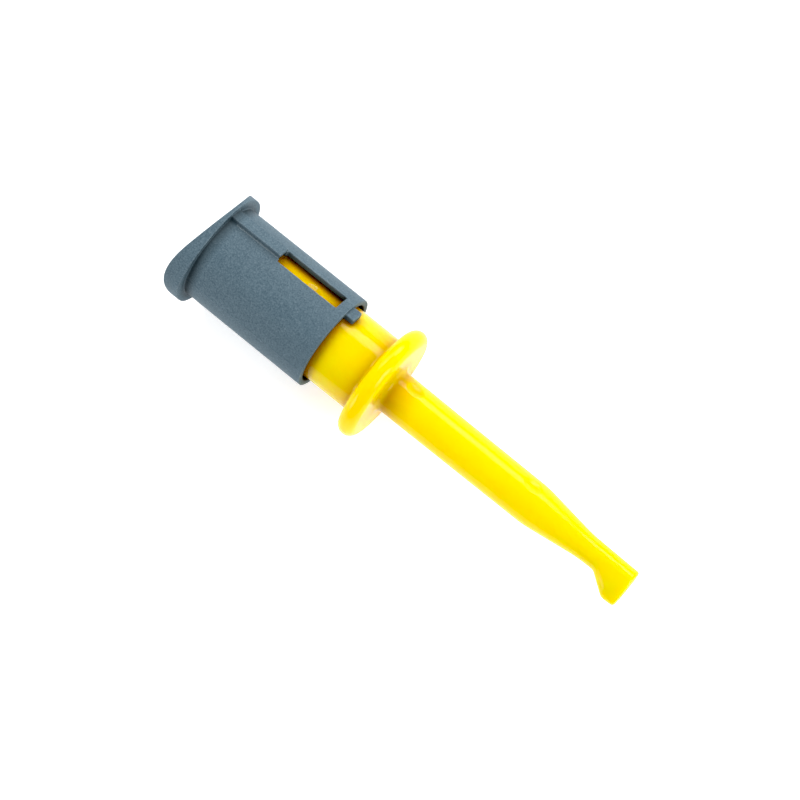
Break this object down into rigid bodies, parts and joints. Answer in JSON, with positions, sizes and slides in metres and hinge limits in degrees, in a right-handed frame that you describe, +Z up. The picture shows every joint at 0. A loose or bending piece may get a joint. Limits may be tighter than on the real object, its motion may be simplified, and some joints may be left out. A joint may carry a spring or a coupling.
{
  "type": "test hook clip",
  "caption": "Spring-loaded test hook clip: pressing the grey thumb cap pushes a wire hook out of the yellow nose to grip a component lead.",
  "frame": {"origin": "centre of the clip's bounding box in plan, on the table plane that the two flanges rest on", "axes": "+X along the clip's axis towards the nose, +Y across the flanges away from the nose's foot, +Z up from the table"},
  "size_m": [0.056, 0.013, 0.0114],
  "materials": {
    "yellow_plastic": "smooth moulded, slightly glossy",
    "grey_plastic": "fine matte moulding texture",
    "hook_wire": "thin gold plate on spring wire",
    "terminal_brass": "bright stamped brass",
    "spring_steel": "drawn wire"
  },
  "bodies": {
    "body": {"clip_body": "yellow_plastic", "return_spring": "spring_steel"},
    "plunger": {"plunger_cap": "grey_plastic", "hook_rod": "hook_wire", "solder_terminal": "terminal_brass"}
  },
  "joints": [
    {"name": "plunger_slide", "type": "slide", "parent": "body", "child": "plunger", "axis": [1, 0, 0], "range_m": [0, 0.004], "stiffness_N_per_m": 300, "springref_m": -0.004, "deforming": ["return_spring"]}
  ]
}
